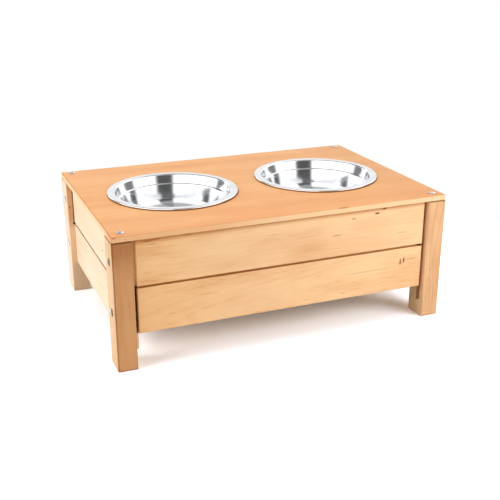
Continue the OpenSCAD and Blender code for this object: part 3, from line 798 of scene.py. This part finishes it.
def floor_finish():
    """A pale floor that looks white where the light reaches it and keeps the stand's shadow. What the camera and
    the steel see of it is set apart from how it lights the stand, and is darkened by a painted shadow beneath the
    middle of the stand that fades out towards its edges."""
    material, n = new_material("studio_floor")
    ray = n.add("ShaderNodeLightPath").outputs
    mirrored = n.calc("MAXIMUM", ray["Is Glossy Ray"], ray["Is Transmission Ray"])
    shown = n.calc("MAXIMUM", ray["Is Camera Ray"], mirrored)
    place = n.add("ShaderNodeTexCoord").outputs["Object"]
    axes = n.parts(place)
    inside = [n.calc("SUBTRACT", half, n.calc("ABSOLUTE", axes[axis]))
              for axis, half in (("X", HALF_WIDTH), ("Y", HALF_DEPTH))]
    beneath = n.calc("MINIMUM", *inside)
    floor_with_shadow = n.blend(n.fade(beneath, 0.02, 0.15), FLOOR_LIT, FLOOR_SHADOW_TINT)
    paper = n.add("ShaderNodeBsdfDiffuse", {"Color": n.blend(shown, grey(0.8), floor_with_shadow)})
    white = n.add("ShaderNodeEmission", {"Color": (1, 1, 1, 1), "Strength": 1.0})
    far = n.calc("MULTIPLY", shown, n.fade(n.vector_calc("LENGTH", place), 0.42, 0.75))
    both = n.add("ShaderNodeMixShader", {0: far, 1: paper.outputs[0], 2: white.outputs[0]})
    n.add("ShaderNodeOutputMaterial", {"Surface": both.outputs[0]})
    return material


floor_mesh = bpy.data.meshes.new("studio_floor")
corners = ((-FLOOR_REACH, -FLOOR_REACH), (FLOOR_REACH, -FLOOR_REACH), (FLOOR_REACH, FLOOR_REACH),
           (-FLOOR_REACH, FLOOR_REACH))
floor_mesh.from_pydata([(x, y, FLOOR_Z) for x, y in corners], [], [(0, 1, 2, 3)])
floor_mesh.materials.append(floor_finish())
floor = add_to_scene("studio_floor", floor_mesh)


def studio_room():
    """White to the eye. Steel sees big white screens to the left and the right, the dark room between and beyond
    them, and a dim ceiling. Angles are in degrees, from the photographer's side round to their right."""
    world = bpy.data.worlds.new("studio")
    bpy.context.scene.world = world
    world.use_nodes = True
    n = Nodes(world.node_tree)
    way = n.add("ShaderNodeTexCoord").outputs["Generated"]
    ahead = n.vector_calc("DOT_PRODUCT", way, (math.sin(AZIMUTH), -math.cos(AZIMUTH), 0))
    aside = n.vector_calc("DOT_PRODUCT", way, (math.cos(AZIMUTH), math.sin(AZIMUTH), 0))
    turn = n.calc("MULTIPLY", n.calc("ARCTAN2", aside, ahead), 180 / math.pi)
    lift = n.calc("MULTIPLY", n.calc("ARCSINE", n.parts(way)["Z"]), 180 / math.pi)

    def span(value, start, end, soft):
        return n.all_of(n.fade(value, start - soft, start + soft), n.fade(value, end + soft, end - soft))

    gap = n.all_of(span(turn, 4, 42, 5), n.calc("MULTIPLY_ADD", n.fade(lift, 22, 62), -0.5, 0.94))
    right_end = n.all_of(span(turn, 94, 122, 5), n.fade(lift, 34, 20), 0.86)
    left_end = n.all_of(span(turn, -126, -99, 5), n.fade(lift, 34, 20), 0.86)
    high_left = n.all_of(span(turn, -185, -118, 6), span(lift, 29, 52, 4), 0.93)
    backdrop = n.all_of(n.fade(n.calc("ABSOLUTE", turn), 140, 152), n.fade(lift, 27, 21), 0.42)
    bright = n.calc("MULTIPLY_ADD", n.fade(lift, 30, 62), -1.15, 1.65)
    for dark in (gap, right_end, left_end, high_left, backdrop):
        bright = n.calc("MULTIPLY", bright, n.calc("SUBTRACT", 1.0, dark))
    ray = n.add("ShaderNodeLightPath").outputs
    in_steel = n.calc("MAXIMUM", ray["Is Glossy Ray"], ray["Is Transmission Ray"])
    elsewhere = n.calc("MULTIPLY_ADD", ray["Is Camera Ray"], 1 - FILL, FILL)
    strength = n.calc("ADD", n.calc("MULTIPLY", in_steel, bright),
                      n.calc("MULTIPLY", n.calc("SUBTRACT", 1.0, in_steel), elsewhere))
    back = n.add("ShaderNodeBackground", {"Color": (1, 1, 1, 1), "Strength": strength})
    n.add("ShaderNodeOutputWorld", {"Surface": back.outputs[0]})


studio_room()


def softbox(name, place, aim, size, power):
    lamp = bpy.data.lights.new(name, "AREA")
    lamp.shape = "RECTANGLE"
    lamp.size, lamp.size_y = size
    lamp.energy = power
    box = add_to_scene(name, lamp)
    box.location = place
    box.rotation_mode = "QUATERNION"
    box.rotation_quaternion = (Vector(aim) - Vector(place)).to_track_quat("-Z", "Y")
    box.visible_glossy = False


softbox("left_softbox", (-1.7, -0.2, 0.8), (0, 0, 0.12), (1.2, 1.2), 22)
softbox("right_softbox", (1.0, -1.2, 0.6), (0.1, 0, 0.12), (1.0, 0.9), 16.5)
softbox("overhead_softbox", (0.1, 0.2, 2.0), (0, 0, 0.2), (1.6, 1.6), 16)
softbox("back_softbox", (0.5, 1.9, 0.8), (0, 0, 0.12), (1.2, 1.0), 10)

camera = bpy.data.cameras.new("photo_camera")
camera.lens, camera.sensor_width = CAMERA_LENS, CAMERA_SENSOR
viewpoint = add_to_scene("photo_camera", camera)
viewpoint.location = CAMERA_PLACE
backwards = Vector((math.sin(AZIMUTH) * math.cos(ELEVATION), -math.cos(AZIMUTH) * math.cos(ELEVATION),
                    math.sin(ELEVATION)))
viewpoint.rotation_mode = "QUATERNION"
viewpoint.rotation_quaternion = (-backwards).to_track_quat("-Z", "Y")
bpy.context.scene.camera = viewpoint
bpy.context.scene.view_settings.view_transform = "Standard"
